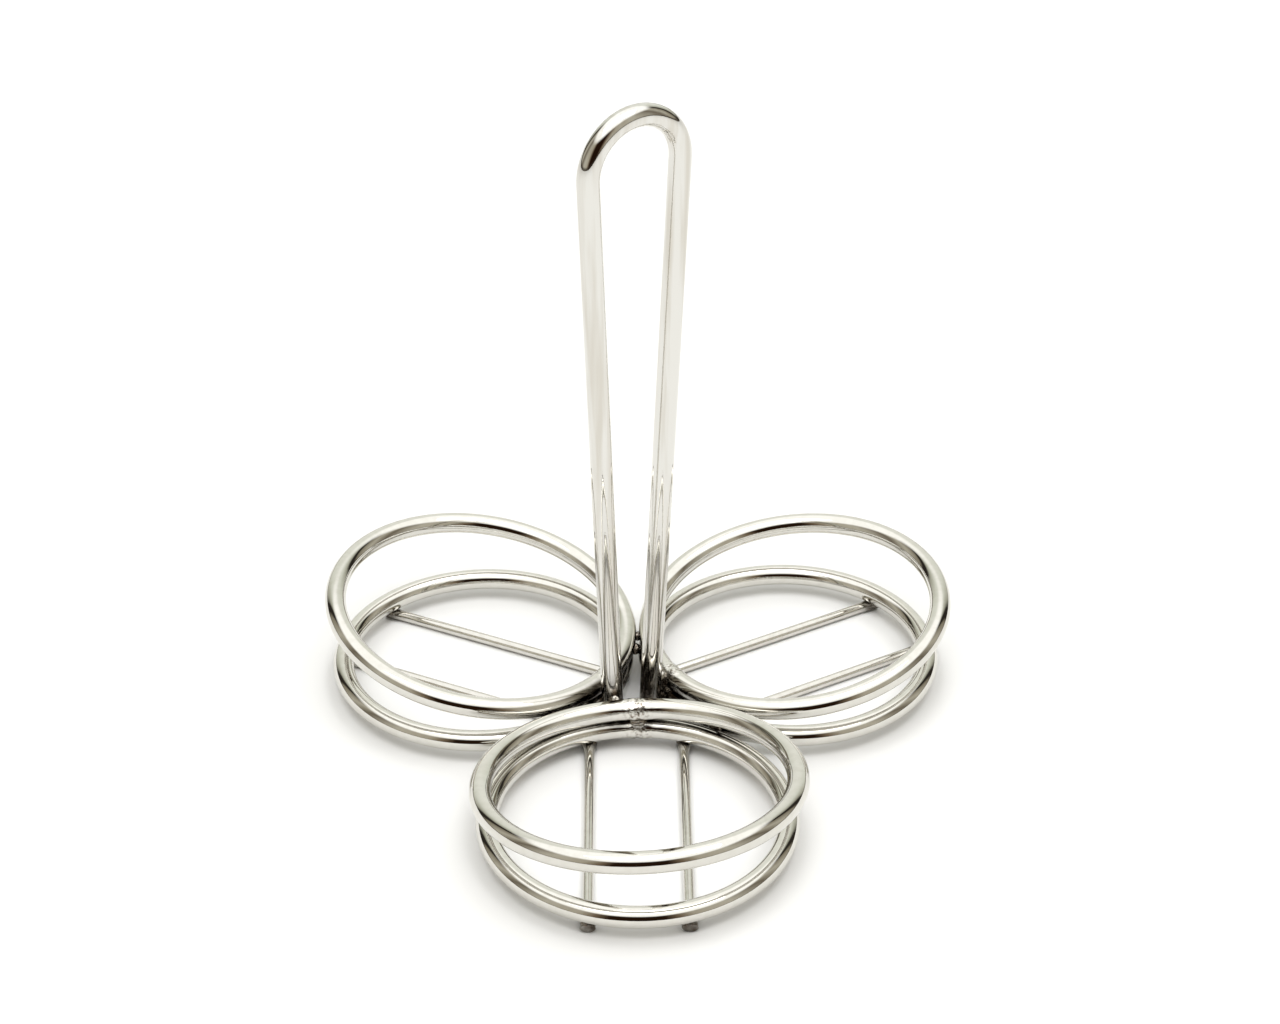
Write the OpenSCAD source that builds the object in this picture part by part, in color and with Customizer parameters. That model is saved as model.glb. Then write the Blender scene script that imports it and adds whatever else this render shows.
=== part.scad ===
// Three-pocket wire caddy. Each pocket is a flat lower ring, a wider tilted upper ring that
// rests on it at the middle of the caddy, and two thin wires across the bottom. A tall bent
// loop stands between the pockets as the handle. Everything is round wire, held by welds.
// +Z is up. The origin is on the table, at the point that the three pockets surround.
// Lists of three run front, right, left.

/* [Wire] */
// Diameter of the ring and handle wire
wire_d = 5; // [4:0.1:5.2]
// Diameter of the floor wires
floor_wire_d = 2.5; // [2:0.1:3]
// How deep a floor wire is pressed into the ring above it
weld_sink = 0.3; // [0.1:0.1:0.5]

/* [Lower rings] */
// Inside diameter of a lower ring
lower_inside_d = 62.5; // [58:0.5:63]
// Directions of the lower rings from the middle, in degrees
lower_dir = [-90, 31.5, 151.5]; // [-180:0.5:180]
// Distances of the lower rings' centres from the middle
lower_out = [42, 42.6, 42.5]; // [42:0.1:44]

/* [Upper rings] */
// Inside diameter of an upper ring
upper_inside_d = 65.5; // [60:0.5:66]
// Directions of the upper rings from the middle, in degrees
upper_dir = [-89.6, 32, 149.6]; // [-180:0.2:180]
// Distances from the middle to the nearest point of each upper ring's wire line
upper_inner = [8.4, 9.5, 8.9]; // [8:0.1:10]
// Height of that nearest point over the lower ring's wire line
upper_rise = [5.4, 5.1, 5.2]; // [5:0.1:6]
// Outward tilt of the upper rings, in degrees
upper_tilt = [9.3, 9.2, 10.8]; // [4:0.1:12]
// Sideways roll of the upper rings, in degrees
upper_roll = [2.3, -0.8, 2.1]; // [-3:0.1:3]

/* [Floor wires] */
// Directions of the floor wires, in degrees
floor_dir = [-89.5, 30, 154.5]; // [-180:0.5:180]
// Distance between the two wires of a pocket
floor_gap = 22; // [16:0.5:26]
// Length that a floor wire runs on past the ring's wire line
floor_overrun = 1.5; // [0.5:0.1:2]

/* [Handle] */
// Height of the top of the handle over the table
handle_top = 159; // [120:0.5:200]
// Distance between the legs' wire lines at the bottom
leg_gap = 10.4; // [10:0.1:12]
// Distance between the legs' wire lines where the bend starts
bend_gap = 23.8; // [20:0.1:30]
// Turn of the handle about its upright axis, in degrees
handle_turn = 36; // [25:0.5:40]
// Sideways lean of the handle, in degrees
handle_lean = 0.35; // [0:0.05:1]
// Place of the handle's middle between the pockets, [X, Y]
handle_at = [-1.5, -0.5]; // [-2:0.1:2]

/* [Welds] */
// Diameter of the beads where a ring rests on a ring, or a leg touches a ring
bead_d = 4.6; // [4:0.1:5]
// Diameter of the beads in the groove between two rings that lie side by side
side_bead_d = 3.8; // [3.4:0.1:4.2]
// How far such a bead's middle is from the wire lines: over the lower rings, under the upper ones
side_bead_lift = 1.6; // [1.4:0.1:1.8]
// Diameter of the beads on the floor wires
floor_bead_d = 3.4; // [3:0.1:4]

/* [Hidden] */
$fn = 160;
FRONT = 0;
RIGHT = 1;
LEFT = 2;
POCKETS = [FRONT, RIGHT, LEFT];
// Pairs of pockets that touch side by side
NEIGHBOURS = [[FRONT, RIGHT], [RIGHT, LEFT], [LEFT, FRONT]];
wire_r = wire_d / 2;
lower_r = (lower_inside_d + wire_d) / 2;
upper_r = (upper_inside_d + wire_d) / 2;
lower_z = floor_wire_d - weld_sink + wire_r;

// Where a leg starts, and where its bend starts, measured up the handle's own axis
leg_foot_z = lower_z - wire_r;
leg_splay = atan2((bend_gap - leg_gap) / 2, handle_top - leg_foot_z - bend_gap / 2);
bend_r = bend_gap / 2 / cos(leg_splay);
bend_z = handle_top - wire_r - leg_foot_z - bend_r * (1 + sin(leg_splay));
leg_len = norm([bend_z, (bend_gap - leg_gap) / 2]);
bend_step = 0.01;
bend_overlap = 0.3;

function along(dir, d, z) = [d * cos(dir), d * sin(dir), z];
function unit(v) = v / norm(v);
function middle(a, b) = (a + b) / 2;
function turned(v, dir) = [v.x * cos(dir) - v.y * sin(dir), v.x * sin(dir) + v.y * cos(dir), v.z];
// A vector of an upper ring's own plane, rolled, tilted and turned to its place
function rolled(v, a) = [v.x, v.y * cos(a) - v.z * sin(a), v.y * sin(a) + v.z * cos(a)];
function tilted(v, a) = [v.x * cos(a) - v.z * sin(a), v.y, v.x * sin(a) + v.z * cos(a)];
function upper_vector(i, v) =
    turned(tilted(rolled(v, upper_roll[i]), upper_tilt[i]), upper_dir[i]);
function lower_centre(i) = along(lower_dir[i], lower_out[i], lower_z);
function lower_inner_point(i) = along(lower_dir[i], lower_out[i] - lower_r, lower_z);
function upper_inner_point(i) = along(upper_dir[i], upper_inner[i], lower_z + upper_rise[i]);
function upper_centre(i) = upper_inner_point(i) + upper_vector(i, [upper_r, 0, 0]);
// The point of a ring's wire line that is nearest to a place beside it
function lower_point_to(i, p) =
    lower_centre(i) + lower_r * unit([p.x, p.y, lower_z] - lower_centre(i));
function upper_point_to(i, p) =
    let (
        out = p - upper_centre(i),
        x_axis = upper_vector(i, [1, 0, 0]),
        y_axis = upper_vector(i, [0, 1, 0])
    )
    upper_centre(i) + upper_r * unit(x_axis * (out * x_axis) + y_axis * (out * y_axis));
// A leg's wire line at a height: side is -1 for the left leg and 1 for the right one
function leg_point(side, z) =
    let (up = z - leg_foot_z, half = leg_gap / 2 + up * tan(leg_splay))
    [handle_at.x, handle_at.y, z]
        + side * half * [cos(handle_turn), sin(handle_turn), 0]
        + up * [sin(handle_lean), 0, 0];
// The place where a floor wire crosses under its ring: end is -1 inside and 1 outside
function floor_reach(side) = sqrt(lower_r * lower_r - floor_gap * floor_gap / 4);
function floor_crossing(i, side, end) =
    [lower_centre(i).x, lower_centre(i).y, 0]
        + turned([end * floor_reach(side), side * floor_gap / 2, floor_wire_d], floor_dir[i]);

module torus(ring_r, tube_r) {
    rotate_extrude() translate([ring_r, 0]) circle(r = tube_r);
}

module lower_ring(i) {
    translate(lower_centre(i)) torus(lower_r, wire_r);
}

module upper_ring(i) {
    translate(upper_inner_point(i))
        rotate([0, 0, upper_dir[i]])
            rotate([0, -upper_tilt[i], 0])
                rotate([upper_roll[i], 0, 0])
                    translate([upper_r, 0, 0])
                        torus(upper_r, wire_r);
}

// One straight leg, from its foot up to the bend. It runs a little way into the bend, and is a
// hair thinner, so that leg and bend make one piece.
module leg(side) {
    translate([side * leg_gap / 2, 0, 0])
        rotate([0, side * leg_splay, 0])
            cylinder(r = wire_r - bend_step, h = leg_len + bend_overlap);
}

// The bend over the top, a little more than half a turn
module bend() {
    translate([0, 0, bend_z + bend_r * sin(leg_splay)])
        rotate([90, 0, 0])
            rotate([0, 0, -leg_splay])
                rotate_extrude(angle = 180 + 2 * leg_splay)
                    translate([bend_r, 0])
                        circle(r = wire_r);
}

module handle_wire() {
    translate([handle_at.x, handle_at.y, leg_foot_z])
        rotate([0, handle_lean, 0])
            rotate([0, 0, handle_turn]) {
                leg(-1);
                leg(1);
                bend();
            }
}

// A floor wire lies under its ring, with a shallow seat where the ring is pressed into it
module floor_wire(i, side) {
    difference() {
        translate([lower_centre(i).x, lower_centre(i).y, floor_wire_d / 2])
            rotate([0, 0, floor_dir[i]])
                translate([0, side * floor_gap / 2, 0])
                    rotate([0, 90, 0])
                        cylinder(
                            r = floor_wire_d / 2,
                            h = 2 * (floor_reach(side) + floor_overrun),
                            center = true
                        );
        lower_ring(i);
    }
}

// Weld metal fills the corner round the place where two wires touch: a and b are points on
// their wire lines, and the children are the wires
module bead(a, b, d, lift = 0) {
    toward = unit(b - a);
    difference() {
        translate(middle(a, b) + [0, 0, lift])
            rotate([0, acos(toward.z), atan2(toward.y, toward.x)])
                sphere(d = d);
        children();
    }
}

module carrying_handle() {
    color("gainsboro") handle_wire();
}

module lower_ring_piece(i) {
    color("silver") lower_ring(i);
}

module upper_ring_piece(i) {
    color("lightgray") upper_ring(i);
}

module floor_wire_piece(i, side) {
    color("darkgray") floor_wire(i, side);
}

// Beads that hold each upper ring down on its lower ring
module stack_welds() {
    color("dimgray")
        for (i = POCKETS)
            bead(lower_inner_point(i), upper_inner_point(i), bead_d) {
                lower_ring(i);
                upper_ring(i);
            }
}

// Beads on top of the groove between neighbouring lower rings
module lower_ring_welds() {
    color("dimgray")
        for (pair = NEIGHBOURS)
            bead(
                lower_point_to(pair[0], lower_centre(pair[1])),
                lower_point_to(pair[1], lower_centre(pair[0])),
                side_bead_d,
                side_bead_lift
            ) {
                lower_ring(pair[0]);
                lower_ring(pair[1]);
            }
}

// Beads under the groove between neighbouring upper rings
module upper_ring_welds() {
    color("dimgray")
        for (pair = NEIGHBOURS)
            bead(
                upper_point_to(pair[0], upper_centre(pair[1])),
                upper_point_to(pair[1], upper_centre(pair[0])),
                side_bead_d,
                -side_bead_lift
            ) {
                upper_ring(pair[0]);
                upper_ring(pair[1]);
            }
}

// Beads that hold the left leg to the front pocket and the right leg to the right pocket
module handle_welds() {
    color("dimgray")
        for (joint = [[-1, FRONT], [1, RIGHT]]) {
            low = leg_point(joint[0], lower_z);
            high = leg_point(joint[0], upper_inner_point(joint[1]).z);
            bead(low, lower_point_to(joint[1], low), bead_d) {
                handle_wire();
                lower_ring(joint[1]);
            }
            bead(high, upper_point_to(joint[1], high), bead_d) {
                handle_wire();
                upper_ring(joint[1]);
            }
        }
}

// Squeezed-out metal at the twelve ends of the floor wires
module floor_wire_welds() {
    color("dimgray")
        for (i = POCKETS, side = [-1, 1], end = [-1, 1])
            bead(
                floor_crossing(i, side, end),
                floor_crossing(i, side, end) + [0, 0, wire_r],
                floor_bead_d,
                -wire_r / 2
            ) {
                lower_ring(i);
                floor_wire(i, side);
            }
}

carrying_handle();
lower_ring_piece(FRONT);  // lower_ring_front
lower_ring_piece(RIGHT);  // lower_ring_right
lower_ring_piece(LEFT);  // lower_ring_left
upper_ring_piece(FRONT);  // upper_ring_front
upper_ring_piece(RIGHT);  // upper_ring_right
upper_ring_piece(LEFT);  // upper_ring_left
floor_wire_piece(FRONT, -1);  // floor_wire_front_a
floor_wire_piece(FRONT, 1);  // floor_wire_front_b
floor_wire_piece(RIGHT, -1);  // floor_wire_right_a
floor_wire_piece(RIGHT, 1);  // floor_wire_right_b
floor_wire_piece(LEFT, -1);  // floor_wire_left_a
floor_wire_piece(LEFT, 1);  // floor_wire_left_b
stack_welds();
lower_ring_welds();
upper_ring_welds();
handle_welds();
floor_wire_welds();
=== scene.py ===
import math

import bpy
import numpy as np
from mathutils import Matrix, Vector, noise

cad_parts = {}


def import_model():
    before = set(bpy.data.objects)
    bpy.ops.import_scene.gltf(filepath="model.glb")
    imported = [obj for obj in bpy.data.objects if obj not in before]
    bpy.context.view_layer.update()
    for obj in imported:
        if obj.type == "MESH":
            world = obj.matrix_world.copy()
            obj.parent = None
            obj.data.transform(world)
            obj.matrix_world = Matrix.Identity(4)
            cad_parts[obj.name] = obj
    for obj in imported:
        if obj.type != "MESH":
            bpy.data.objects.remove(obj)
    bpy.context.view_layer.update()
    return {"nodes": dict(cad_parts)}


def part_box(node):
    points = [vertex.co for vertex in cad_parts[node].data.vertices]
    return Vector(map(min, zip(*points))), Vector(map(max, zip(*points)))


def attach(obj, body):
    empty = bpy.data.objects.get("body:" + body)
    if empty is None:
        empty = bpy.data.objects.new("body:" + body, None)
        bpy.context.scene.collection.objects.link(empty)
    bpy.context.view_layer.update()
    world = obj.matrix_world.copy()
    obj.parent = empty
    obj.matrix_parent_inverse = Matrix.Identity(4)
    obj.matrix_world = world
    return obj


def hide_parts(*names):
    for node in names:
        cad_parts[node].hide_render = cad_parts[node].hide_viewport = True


MM = 0.001
POCKETS = ("front", "right", "left")

# Wires, in metres: the same sizes as the CAD part
WIRE_R = 2.5 * MM
FLOOR_WIRE_R = 1.25 * MM

# How finely the meshes are cut: along a ring and round a wire
RING_STEPS = 480
TUBE_STEPS = 40
LEG_STEPS = 120
BEND_STEPS = 96
FLOOR_WIRE_STEPS = 60

# How far a weld darkens the wire beside it, and how strongly: partly heat tint, partly painted shade
# where the parts meet
HEAT_AND_SHADE_REACH = 6.8 * MM
HEAT_AND_SHADE_GAIN = 2.4

# The butt weld that closes each ring: how far it spreads, its lumps' height and its groove's width
BUTT_SPREAD = 3.1 * MM
BUTT_LUMP = 0.22 * MM
BUTT_GROOVE = 0.25 * MM

# Cut ends of a wire are rounded by this much
END_BEVEL = 0.3 * MM

# Floor wires are pressed wider than round where they are welded, this far in from each end
PRESS_INSET = 1.6 * MM
PRESS_REACH = 2.0 * MM
PRESS_SPREAD = 0.45 * MM

# The handle's line: two straight legs and a round bend
HANDLE_TOP = 159 * MM
LEG_FOOT = 2.2 * MM
LEG_GAP = 10.4 * MM
BEND_GAP = 23.8 * MM
HANDLE_TURN = math.radians(36)
HANDLE_LEAN = math.radians(0.35)
HANDLE_AT = Vector((-1.5, -0.5, 0)) * MM

# Camera: where it stands and what it looks at
CAMERA_AT = Vector((0.5, -538, 401)) * MM
CAMERA_AIM = Vector((0.5, 85.5, 4.7)) * MM
CAMERA_LENS = 79.4
CAMERA_SENSOR = 36.0


# ---------- meshes ----------

def make_object(name, verts, faces, materials, smooth=True):
    mesh = bpy.data.meshes.new(name)
    mesh.from_pydata(verts, [], faces)
    mesh.validate()
    for face in mesh.polygons:
        face.use_smooth = smooth
    for material in materials:
        mesh.materials.append(material)
    obj = bpy.data.objects.new(name, mesh)
    bpy.context.scene.collection.objects.link(obj)
    return obj


def mark(obj, name, values):
    """A value from 0 to 1 at each point, read by the plating's material.
    The weld layer is how rough the surface is, and the browning layer how much a weld beside it darkens
    it, partly as heat tint and partly as painted shade between the parts."""
    layer = obj.data.attributes.new(name, "FLOAT", "POINT")
    layer.data.foreach_set("value", values)


def heat_and_shade_of(place, spots, reach, aim=None):
    """How much the welds around it darken a point of a wire, partly as heat tint and partly as painted
    shade where the parts meet. With aim, the way the surface faces there, mostly the side turned to a
    weld is darkened."""
    total = 0.0
    for spot in spots:
        away = (place - spot).length
        if away > 3 * reach:
            continue
        # The side turned to a weld faces into the corner between the parts, where the painted shade goes
        turned = 1.0 if aim is None else max(0.0, 0.3 - 1.1 * aim.dot(place - spot) / away)
        total += HEAT_AND_SHADE_GAIN * turned * bell(away, reach)
    return min(1.0, total)


def tube_faces(rows, around, closed):
    faces = []
    for i in range(rows if closed else rows - 1):
        a, b = i * around, (i + 1) % rows * around
        for j in range(around):
            k = (j + 1) % around
            faces.append((a + j, b + j, b + k, a + k))
    if not closed:
        faces.append(tuple(range(around)))
        last = (rows - 1) * around
        faces.append(tuple(last + j for j in reversed(range(around))))
    return faces


def bell(x, width):
    return math.exp(-(x / width) ** 2)


def rough(point, size):
    """Smooth noise, about -1 to 1, whose lumps are `size` across."""
    return noise.noise(point / size)


def plane_frame(node):
    """The plane that a ring lies in: centre and upward normal."""
    co = np.array([v.co for v in node.data.vertices], float)
    uniq = np.unique(np.round(co, 7), axis=0)
    centre = (uniq.min(0) + uniq.max(0)) / 2
    axes = np.linalg.svd(uniq - uniq.mean(0), full_matrices=False)[2]
    normal = axes[2] if axes[2][2] > 0 else -axes[2]
    return Vector(centre), Vector(normal)


def ring_mesh(name, centre, normal, radius, weld_at, materials, spots):
    """A closed ring of wire with a rough butt weld at the point nearest to weld_at."""
    out = weld_at - centre
    out = (out - normal * out.dot(normal)).normalized()
    side = normal.cross(out)
    verts, wear, heat_and_shade = [], [], []
    for i in range(RING_STEPS):
        a = 2 * math.pi * i / RING_STEPS
        radial = out * math.cos(a) + side * math.sin(a)
        line = centre + radial * radius
        along = (a if a < math.pi else a - 2 * math.pi) * radius
        near = bell(along, BUTT_SPREAD)
        for j in range(TUBE_STEPS):
            b = 2 * math.pi * j / TUBE_STEPS
            aim = radial * math.cos(b) + normal * math.sin(b)
            place = line + aim * WIRE_R
            patch = near * (0.75 + 0.6 * rough(place, 1.9 * MM))
            patch = min(1.0, max(0.0, patch * 1.5 - 0.2))
            uneven = 0.5 + 1.1 * rough(place, 1.3 * MM) + 0.5 * rough(place, 0.6 * MM)
            swell = BUTT_LUMP * near * uneven
            groove = -0.5 * BUTT_LUMP * bell(along - 0.5 * MM * rough(place, 2 * MM), BUTT_GROOVE)
            dent = 0.012 * MM * rough(place, 9 * MM)
            verts.append(line + aim * (WIRE_R + swell + groove + dent))
            wear.append(patch)
            # Darkening beside the welds: partly heat tint, partly painted shade between the parts
            heat_and_shade.append(heat_and_shade_of(place, spots, HEAT_AND_SHADE_REACH, aim))
    obj = make_object(name, verts, tube_faces(RING_STEPS, TUBE_STEPS, True), materials)
    mark(obj, "weld", wear)
    mark(obj, "browning_and_shade", heat_and_shade)
    return obj


def wire_rows(line, radius):
    """The rings of points of a wire: place, direction and how full its section is, with rounded ends."""
    rows = []
    count = len(line)
    for i, point in enumerate(line):
        ahead = line[min(i + 1, count - 1)] - line[max(i - 1, 0)]
        rows.append((point, ahead.normalized(), 1.0))
    start, along, _ = rows[0]
    head = [
        (start, along, 1 - END_BEVEL / radius),
        (start + along * 0.3 * END_BEVEL, along, 1 - 0.3 * END_BEVEL / radius),
        (start + along * END_BEVEL, along, 1.0),
    ]
    stop, along, _ = rows[-1]
    tail = [
        (stop - along * END_BEVEL, along, 1.0),
        (stop - along * 0.3 * END_BEVEL, along, 1 - 0.3 * END_BEVEL / radius),
        (stop, along, 1 - END_BEVEL / radius),
    ]
    return head + rows[1:-1] + tail


def sweep(name, line, binormal, radius, materials, spots, reach, spread=0.0):
    """A wire along a flat open line. spread is how much wider than round it is pressed near the welds;
    a pressed wire is darkened all round there, partly as heat tint and partly as painted shade."""
    rows = wire_rows(line, radius)
    verts, heat_and_shade = [], []
    for point, tangent, scale in rows:
        inward = binormal.cross(tangent).normalized()
        for j in range(TUBE_STEPS):
            b = 2 * math.pi * j / TUBE_STEPS
            aim = inward * math.cos(b) + binormal * math.sin(b)
            place = point + aim * radius * scale
            dent = 0.01 * MM * rough(place, 8 * MM)
            # Darkening near the welds: partly heat tint, partly painted shade where the wire meets the
            # other parts
            near_weld = heat_and_shade_of(place, spots, reach, None if spread else aim)
            ragged = 1 + 0.8 * rough(place, 0.9 * MM)
            pressed = inward * math.cos(b) * spread * near_weld * ragged
            verts.append(place + aim * dent + pressed)
            heat_and_shade.append(near_weld)
    obj = make_object(name, verts, tube_faces(len(rows), TUBE_STEPS, False), materials)
    mark(obj, "weld", [0.3 * h for h in heat_and_shade])
    mark(obj, "browning_and_shade", heat_and_shade)
    return obj


def handle_line():
    """The handle's wire line, from the left foot over the bend to the right foot."""
    half = BEND_GAP / 2
    splay = math.atan2(half - LEG_GAP / 2, HANDLE_TOP - LEG_FOOT - half)
    radius = half / math.cos(splay)
    bend_z = HANDLE_TOP - WIRE_R - LEG_FOOT - radius * (1 + math.sin(splay))
    centre_z = bend_z + radius * math.sin(splay)
    flat = []
    for i in range(LEG_STEPS):
        f = i / LEG_STEPS
        flat.append((-(LEG_GAP / 2 + f * (half - LEG_GAP / 2)), f * bend_z))
    for i in range(BEND_STEPS + 1):
        a = math.pi + splay - (math.pi + 2 * splay) * i / BEND_STEPS
        flat.append((radius * math.cos(a), centre_z + radius * math.sin(a)))
    for i in range(LEG_STEPS):
        f = 1 - (i + 1) / LEG_STEPS
        flat.append((LEG_GAP / 2 + f * (half - LEG_GAP / 2), f * bend_z))
    turn = Matrix.Rotation(HANDLE_LEAN, 3, "Y") @ Matrix.Rotation(HANDLE_TURN, 3, "Z")
    base = HANDLE_AT + Vector((0, 0, LEG_FOOT))
    line = [base + turn @ Vector((x, 0, z)) for x, z in flat]
    return line, turn @ Vector((0, 1, 0))


def lump(verts, faces, centre, size, toward, seed):
    """Adds one bead of weld metal: an uneven ball of the given half sizes, with its Z along `toward`."""
    rings, around = 22, 32
    base = len(verts)
    zdir = toward.normalized()
    xdir = zdir.orthogonal().normalized()
    ydir = zdir.cross(xdir)
    shift = Vector((seed * 0.37, seed * 0.91, seed * 0.53))

    def spot(theta, phi):
        aim = (xdir * math.cos(phi) + ydir * math.sin(phi)) * math.sin(theta) + zdir * math.cos(theta)
        local = Vector((aim.dot(xdir) * size.x, aim.dot(ydir) * size.y, aim.dot(zdir) * size.z))
        where = centre + xdir * local.x + ydir * local.y + zdir * local.z
        grain = 1 + 0.16 * rough(where + shift, 1.5 * MM) + 0.09 * rough(where + shift, 0.6 * MM)
        return centre + (where - centre) * grain

    verts.append(spot(0, 0))
    for i in range(1, rings):
        for j in range(around):
            verts.append(spot(math.pi * i / rings, 2 * math.pi * j / around))
    verts.append(spot(math.pi, 0))
    end = len(verts) - 1
    for j in range(around):
        k = (j + 1) % around
        faces.append((base, base + 1 + j, base + 1 + k))
        for i in range(rings - 2):
            a = base + 1 + i * around
            faces.append((a + j, a + around + j, a + around + k, a + k))
        a = base + 1 + (rings - 2) * around
        faces.append((end, a + k, a + j))


# ---------- materials ----------

# Plating darkened beside a weld, partly heat tint and partly painted shade between the parts, and the
# bottom of a pit in weld metal
HEAT_TINT_AND_SHADE = (0.040, 0.027, 0.017)
PIT = (0.13, 0.085, 0.05)

PAPER = (0.86, 0.86, 0.86)

# Each plating: its colour, its streaks' colour, its roughness and how far the streaks are drawn out
PLATINGS = {
    "ring_chrome": ((0.695, 0.68, 0.637), (0.665, 0.648, 0.600), 0.025, 1.0),
    "handle_chrome": ((0.72, 0.71, 0.68), (0.62, 0.595, 0.545), 0.035, 0.05),
    "floor_wire_chrome": ((0.66, 0.645, 0.605), (0.62, 0.60, 0.555), 0.04, 1.0),
    "weld_metal": ((0.62, 0.60, 0.55), (0.50, 0.46, 0.40), 0.14, 1.0),
}


def node_material(name):
    material = bpy.data.materials.new(name)
    material.use_nodes = True
    tree = material.node_tree
    shader = tree.nodes["Principled BSDF"]
    return material, tree, shader


def noise_node(tree, coords, scale, detail, stretch=None):
    """Noise over the object's own coordinates. With a small stretch it is drawn out along Z."""
    node = tree.nodes.new("ShaderNodeTexNoise")
    node.inputs["Scale"].default_value = scale
    node.inputs["Detail"].default_value = detail
    source = coords.outputs["Object"]
    if stretch:
        mapping = tree.nodes.new("ShaderNodeMapping")
        mapping.inputs["Scale"].default_value = (1, 1, stretch)
        tree.links.new(source, mapping.inputs["Vector"])
        source = mapping.outputs["Vector"]
    tree.links.new(source, node.inputs["Vector"])
    return node.outputs["Fac"]


def remap(tree, value, low, high, to_low, to_high):
    node = tree.nodes.new("ShaderNodeMapRange")
    node.inputs["From Min"].default_value = low
    node.inputs["From Max"].default_value = high
    node.inputs["To Min"].default_value = to_low
    node.inputs["To Max"].default_value = to_high
    tree.links.new(value, node.inputs["Value"])
    return node.outputs["Result"]


def times(tree, a, b):
    node = tree.nodes.new("ShaderNodeMath")
    node.operation = "MULTIPLY"
    tree.links.new(a, node.inputs[0])
    tree.links.new(b, node.inputs[1])
    return node.outputs["Value"]


def blend_color(tree, factor, a, b):
    """Mixes two colours, each given as a value or as a socket."""
    node = tree.nodes.new("ShaderNodeMix")
    node.data_type = "RGBA"
    tree.links.new(factor, node.inputs["Factor"])
    for key, value in (("A", a), ("B", b)):
        socket = [i for i in node.inputs if i.type == "RGBA" and i.name == key][0]
        if isinstance(value, tuple):
            socket.default_value = (*value, 1)
        else:
            tree.links.new(value, socket)
    return [o for o in node.outputs if o.type == "RGBA"][0]


def blend_value(tree, factor, a, b):
    """Mixes the number in socket a with the plain number b."""
    node = tree.nodes.new("ShaderNodeMix")
    tree.links.new(factor, node.inputs["Factor"])
    tree.links.new(a, node.inputs["A"])
    node.inputs["B"].default_value = b
    return node.outputs["Result"]


def attribute(tree, name):
    node = tree.nodes.new("ShaderNodeAttribute")
    node.attribute_name = name
    return node.outputs["Fac"]


def bump(tree, height, strength, distance, under=None):
    node = tree.nodes.new("ShaderNodeBump")
    node.inputs["Strength"].default_value = strength
    node.inputs["Distance"].default_value = distance
    tree.links.new(height, node.inputs["Height"])
    if under:
        tree.links.new(under, node.inputs["Normal"])
    return node.outputs["Normal"]


def chrome(name, base, streak_color, roughness, stretch):
    """Bright plating with faint waves, polishing streaks and fine grain. Beside a weld it is browned and
    dulled, partly heat tint and partly painted shade between the parts, and weld metal under it is
    pitted."""
    material, tree, shader = node_material(name)
    link = tree.links.new
    shader.inputs["Metallic"].default_value = 1.0
    coords = tree.nodes.new("ShaderNodeTexCoord")
    weld = attribute(tree, "weld")
    heat_and_shade = attribute(tree, "browning_and_shade")

    grain = noise_node(tree, coords, 1200, 3)
    streaks = noise_node(tree, coords, 520, 3, stretch)
    stain = noise_node(tree, coords, 420, 4)
    waves = noise_node(tree, coords, 120, 1)
    pits = noise_node(tree, coords, 1500, 2)

    rough_value = remap(tree, grain, 0.35, 0.75, roughness * 0.6, roughness * 1.7)
    rough_value = blend_value(tree, heat_and_shade, rough_value, 0.16)
    rough_value = blend_value(tree, weld, rough_value, 0.24)
    link(rough_value, shader.inputs["Roughness"])

    color = blend_color(tree, remap(tree, streaks, 0.42, 0.66, 0, 1), base, streak_color)
    # Darkening beside the welds: partly heat tint, partly painted shade between the parts
    burnt_and_shaded = times(tree, heat_and_shade, remap(tree, stain, 0.30, 0.60, 0.6, 1))
    color = blend_color(tree, burnt_and_shaded, color, HEAT_TINT_AND_SHADE)
    spots = times(tree, weld, remap(tree, pits, 0.50, 0.64, 0, 0.85))
    color = blend_color(tree, spots, color, PIT)
    link(color, shader.inputs["Base Color"])

    normal = bump(tree, waves, 0.10, 0.0006)
    normal = bump(tree, grain, 0.04, 0.0001, normal)
    rugged = times(tree, weld, pits)
    normal = bump(tree, rugged, 0.9, 0.00018, normal)
    link(normal, shader.inputs["Normal"])
    return material


def floor_material():
    material, _, shader = node_material("paper")
    shader.inputs["Base Color"].default_value = (*PAPER, 1)
    shader.inputs["Roughness"].default_value = 0.9
    shader.inputs["Specular IOR Level"].default_value = 0.0
    return material


# ---------- studio ----------

FLOOR_HALF = 4.0

# The tent: its strength, and the colours of its parts
TENT_STRENGTH = 1.0
OPENING = (0.020, 0.009, 0.004)
SEAM = (0.03, 0.025, 0.02)
CANOPY = (1.45, 1.45, 1.42)
TABLE_EDGE = (0.05, 0.04, 0.03)

# Heights, in degrees, where the canopy starts and where it is full, and where the table's edge ends
CANOPY_STARTS = 36
CANOPY_FULL = 50
EDGE_FULL = 0.5
EDGE_ENDS = 5
EDGE_SHARE = 0.85

# The tent's walls, by how many degrees they are round from the front
WALLS = [
    (0, OPENING),
    (18, OPENING),
    (27, (0.20, 0.15, 0.10)),
    (38, (0.50, 0.46, 0.37)),
    (62, (0.58, 0.55, 0.46)),
    (88, (0.20, 0.17, 0.13)),
    (104, (0.55, 0.52, 0.43)),
    (119, (0.28, 0.25, 0.19)),
    (123, SEAM),
    (130, SEAM),
    (136, (0.50, 0.50, 0.42)),
    (150, (0.86, 0.88, 0.79)),
    (180, (1.02, 1.03, 0.96)),
]


def make_floor():
    size = FLOOR_HALF
    verts = [(-size, -size, 0), (size, -size, 0), (size, size, 0), (-size, size, 0)]
    floor = make_object("floor", verts, [(0, 1, 2, 3)], [floor_material()], smooth=False)


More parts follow.
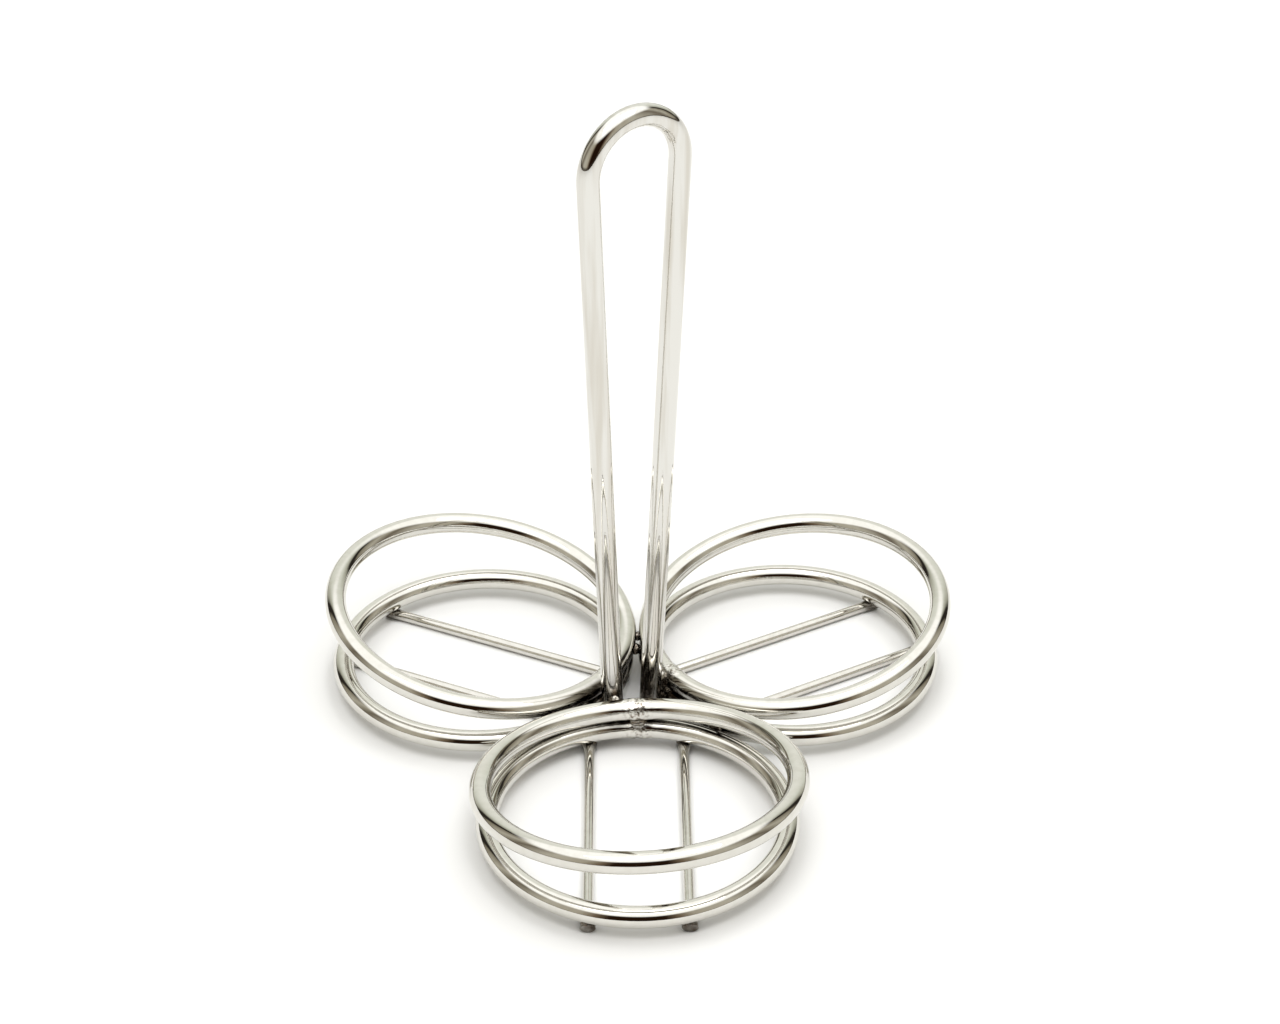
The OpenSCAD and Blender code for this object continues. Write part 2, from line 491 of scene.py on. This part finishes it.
def ramp(tree, stops, source):
    node = tree.nodes.new("ShaderNodeValToRGB")
    elements = node.color_ramp.elements
    while len(elements) < len(stops):
        elements.new(0.5)
    for element, (place, color) in zip(elements, stops):
        element.position = place
        element.color = (*color, 1)
    tree.links.new(source, node.inputs["Fac"])
    return node


def facing(degrees):
    """A ramp place for a direction on the level: 0 degrees is the front, 180 the back."""
    return 0.5 - 0.5 * math.cos(math.radians(degrees))


def make_world():
    """A light tent: bright overhead, pale behind, greyer at the sides, with the dark opening that the
    picture is taken through in front and a dark seam at each rear corner."""
    world = bpy.data.worlds.new("tent")
    bpy.context.scene.world = world
    world.use_nodes = True
    tree = world.node_tree
    add = tree.nodes.new
    link = tree.links.new
    coords = add("ShaderNodeTexCoord")
    split = add("ShaderNodeSeparateXYZ")
    link(coords.outputs["Generated"], split.inputs["Vector"])
    level = add("ShaderNodeCombineXYZ")
    link(split.outputs["X"], level.inputs["X"])
    link(split.outputs["Y"], level.inputs["Y"])
    unit = add("ShaderNodeVectorMath")
    unit.operation = "NORMALIZE"
    link(level.outputs["Vector"], unit.inputs[0])
    heading = add("ShaderNodeSeparateXYZ")
    link(unit.outputs["Vector"], heading.inputs["Vector"])
    around = add("ShaderNodeMath")
    around.operation = "MULTIPLY_ADD"
    around.inputs[1].default_value = 0.5
    around.inputs[2].default_value = 0.5
    link(heading.outputs["Y"], around.inputs[0])
    stops = [(facing(degrees), color) for degrees, color in WALLS]
    walls = ramp(tree, stops, around.outputs["Value"])

    # The canopy takes over from the walls
    canopy_mix = add("ShaderNodeMapRange")
    canopy_mix.interpolation_type = "SMOOTHSTEP"
    canopy_mix.inputs["From Min"].default_value = math.sin(math.radians(CANOPY_STARTS))
    canopy_mix.inputs["From Max"].default_value = math.sin(math.radians(CANOPY_FULL))
    link(split.outputs["Z"], canopy_mix.inputs["Value"])
    shell = add("ShaderNodeMix")
    shell.data_type = "RGBA"
    link(canopy_mix.outputs["Result"], shell.inputs["Factor"])
    link(walls.outputs["Color"], shell.inputs["A"])
    shell.inputs["B"].default_value = (*CANOPY, 1)

    # The table's edge shows as a thin darker line all round
    edge = add("ShaderNodeMapRange")
    edge.interpolation_type = "SMOOTHSTEP"
    edge.inputs["From Min"].default_value = math.sin(math.radians(EDGE_ENDS))
    edge.inputs["From Max"].default_value = math.sin(math.radians(EDGE_FULL))
    edge.inputs["To Max"].default_value = EDGE_SHARE
    link(split.outputs["Z"], edge.inputs["Value"])
    whole = add("ShaderNodeMix")
    whole.data_type = "RGBA"
    link(edge.outputs["Result"], whole.inputs["Factor"])
    link(shell.outputs["Result"], whole.inputs["A"])
    whole.inputs["B"].default_value = (*TABLE_EDGE, 1)
    back = tree.nodes["Background"]
    link(whole.outputs["Result"], back.inputs["Color"])
    back.inputs["Strength"].default_value = TENT_STRENGTH


def make_light(name, place, aim, size, watts):
    data = bpy.data.lights.new(name, "AREA")
    data.shape = "RECTANGLE"
    data.size, data.size_y = size
    data.energy = watts
    lamp = bpy.data.objects.new(name, data)
    lamp.location = place
    lamp.rotation_euler = (Vector(aim) - Vector(place)).to_track_quat("-Z", "Y").to_euler()
    bpy.context.scene.collection.objects.link(lamp)


def make_camera():
    data = bpy.data.cameras.new("camera")
    data.sensor_width = CAMERA_SENSOR
    data.lens = CAMERA_LENS
    data.clip_start = 0.01
    camera = bpy.data.objects.new("camera", data)
    camera.location = CAMERA_AT
    camera.rotation_euler = (CAMERA_AIM - CAMERA_AT).to_track_quat("-Z", "Y").to_euler()
    bpy.context.scene.collection.objects.link(camera)
    bpy.context.scene.camera = camera


# ---------- the caddy ----------

def ring_radius(node, centre, normal):
    """The radius of a ring's wire line, from its CAD node."""
    arms = [v.co - centre for v in node.data.vertices]
    reach = max((arm - normal * arm.dot(normal)).length for arm in arms)
    return reach - WIRE_R


def build_rings(nodes, materials, spots):
    middle = Vector((0, 0, 0))
    for pocket in POCKETS:
        for level in ("lower", "upper"):
            name = f"{level}_ring_{pocket}"
            centre, normal = plane_frame(nodes[name])
            radius = ring_radius(nodes[name], centre, normal)
            piece = ring_mesh(name + "_wire", centre, normal, radius, middle, materials, spots)
            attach(piece, "root")
            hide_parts(name)


def build_handle(materials, spots):
    line, binormal = handle_line()
    piece = sweep("carrying_handle_wire", line, binormal, WIRE_R, materials, spots, HEAT_AND_SHADE_REACH)
    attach(piece, "root")
    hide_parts("carrying_handle")


def build_floor_wires(nodes, materials):
    for pocket in POCKETS:
        for letter in "ab":
            name = f"floor_wire_{pocket}_{letter}"
            points = [v.co for v in nodes[name].data.vertices]
            low = Vector(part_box(name)[0])
            high = Vector(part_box(name)[1])
            middle = (low + high) / 2
            middle.z = FLOOR_WIRE_R
            aim = wire_direction(points, middle)
            reach = max((p - middle).dot(aim) for p in points)
            count = FLOOR_WIRE_STEPS
            line = [middle + aim * reach * (2 * i / count - 1) for i in range(count + 1)]
            ends = [line[0] + aim * PRESS_INSET, line[-1] - aim * PRESS_INSET]
            piece = sweep(
                name + "_wire", line, Vector((0, 0, 1)), FLOOR_WIRE_R, materials, ends,
                PRESS_REACH, PRESS_SPREAD)
            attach(piece, "root")
            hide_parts(name)


def wire_direction(points, middle):
    """The level direction that a straight wire runs in."""
    xx = sum((p.x - middle.x) ** 2 for p in points)
    yy = sum((p.y - middle.y) ** 2 for p in points)
    xy = sum((p.x - middle.x) * (p.y - middle.y) for p in points)
    angle = 0.5 * math.atan2(2 * xy, xx - yy)
    return Vector((math.cos(angle), math.sin(angle), 0))


def islands(node):
    """Centre and size of each separate solid in a CAD node."""
    mesh = node.data
    parent = list(range(len(mesh.vertices)))

    def root(i):
        while parent[i] != i:
            parent[i] = parent[parent[i]]
            i = parent[i]
        return i

    seen = {}
    for v in mesh.vertices:
        key = tuple(round(c, 6) for c in v.co)
        if key in seen:
            parent[root(v.index)] = root(seen[key])
        seen[key] = v.index
    for edge in mesh.edges:
        parent[root(edge.vertices[0])] = root(edge.vertices[1])
    groups = {}
    for v in mesh.vertices:
        groups.setdefault(root(v.index), []).append(v.co.copy())
    out = []
    for points in groups.values():
        low = Vector([min(p[i] for p in points) for i in range(3)])
        high = Vector([max(p[i] for p in points) for i in range(3)])
        out.append(((low + high) / 2, high - low))
    return sorted(out, key=lambda c: tuple(c[0]))


# Each kind of weld: how much of a CAD bead's box its lump fills, how flat it is and how browned it is,
# partly heat tint and partly painted shade
WELD_SHAPES = {
    "stack_welds": (0.50, 1.0, 0.6),
    "lower_ring_welds": (0.44, 0.8, 0.85),
    "upper_ring_welds": (0.36, 0.8, 0.85),
    "handle_welds": (0.52, 1.0, 0.6),
    "floor_wire_welds": (0.48, 0.6, 0.85),
}

# The welds that darken the rings and the handle beside them, partly heat tint and partly painted shade,
# and how rough weld metal is
BROWNING_AND_SHADING_WELDS = ("stack_welds", "handle_welds", "lower_ring_welds")
WELD_ROUGHNESS = 0.8


def build_welds(beads, material):
    for name, (fill, flatness, browned_and_shaded) in WELD_SHAPES.items():
        verts, faces = [], []
        for seed, (centre, extent) in enumerate(beads[name]):
            shape = Vector((extent.y, extent.x, extent.z * flatness)) * fill
            lump(verts, faces, centre, shape, Vector((0, 0, 1)), seed + len(name))
        piece = make_object(name + "_metal", verts, faces, [material])
        # Each bead is darkened, partly heat tint and partly painted shade where it sits between the
        # parts
        mark(piece, "browning_and_shade", [browned_and_shaded] * len(verts))
        mark(piece, "weld", [WELD_ROUGHNESS] * len(verts))
        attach(piece, "root")
        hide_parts(name)


def main():
    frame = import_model()
    nodes = frame["nodes"]
    scene = bpy.context.scene
    scene.view_settings.view_transform = "Standard"
    plating = {name: chrome(name, *look) for name, look in PLATINGS.items()}
    beads = {name: islands(nodes[name]) for name in WELD_SHAPES}
    spots = [centre for name in BROWNING_AND_SHADING_WELDS for centre, _ in beads[name]]
    build_rings(nodes, [plating["ring_chrome"]], spots)
    build_handle([plating["handle_chrome"]], spots)
    build_floor_wires(nodes, [plating["floor_wire_chrome"]])
    build_welds(beads, plating["weld_metal"])
    make_floor()
    make_world()
    make_light("overhead", (0.1, -0.2, 1.4), (0, 0, 0), (1.4, 0.8), 9)
    make_camera()


main()
